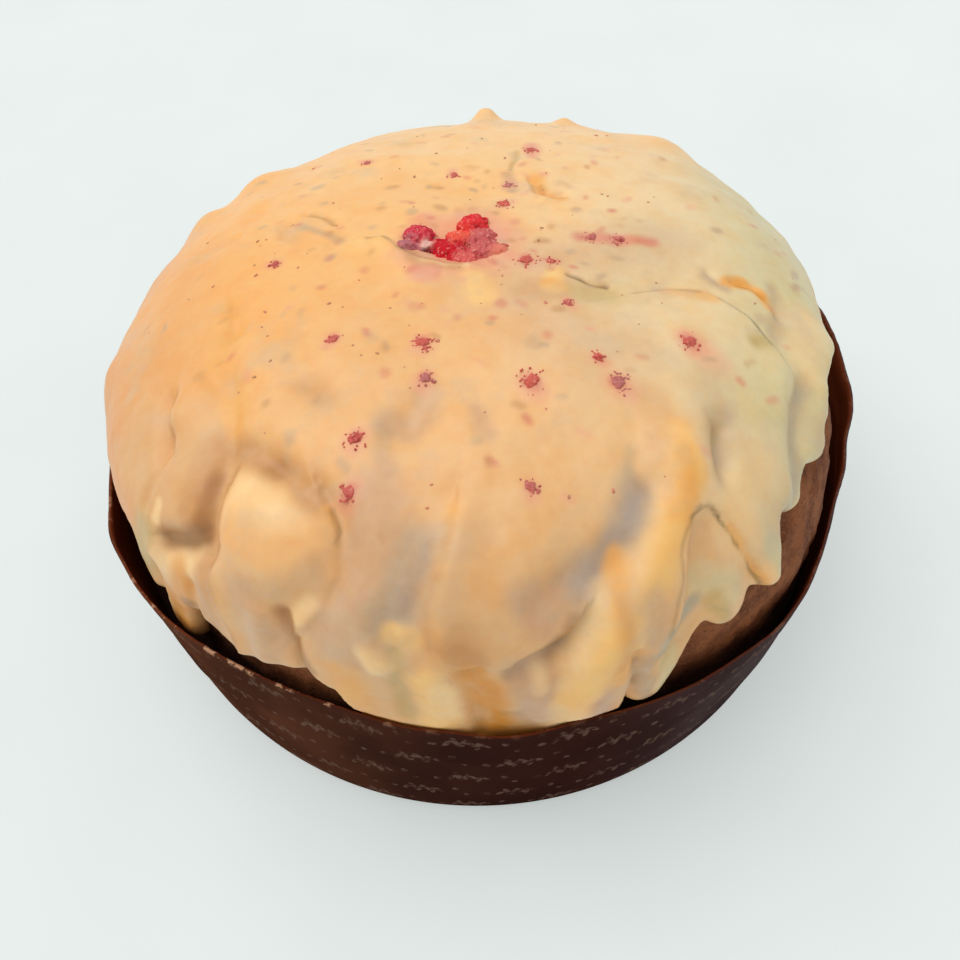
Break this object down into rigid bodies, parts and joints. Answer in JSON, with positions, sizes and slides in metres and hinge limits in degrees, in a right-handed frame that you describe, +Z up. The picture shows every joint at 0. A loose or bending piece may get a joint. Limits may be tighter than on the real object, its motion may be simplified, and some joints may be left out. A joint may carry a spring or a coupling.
{
  "type": "panettone",
  "caption": "Low, wide iced chocolate panettone in its paper baking case: a domed loaf coated in cream icing with drips and raspberry pieces.",
  "frame": {"origin": "centre of the underside of the paper case", "axes": "+Z up through the dome, -Y towards the side with the longest drips, +X to the right seen from there"},
  "size_m": [0.2088, 0.2106, 0.1222],
  "materials": {
    "paper": "dark brown baking paper with a faint sheen",
    "crust": "baked chocolate dough, matt and slightly rough",
    "icing": "cream icing, satin",
    "berry": "freeze-dried raspberry, matt"
  },
  "bodies": {
    "root": {"paper_case": "paper", "bread": "crust", "icing": "icing", "raspberry": "berry"}
  },
  "joints": []
}
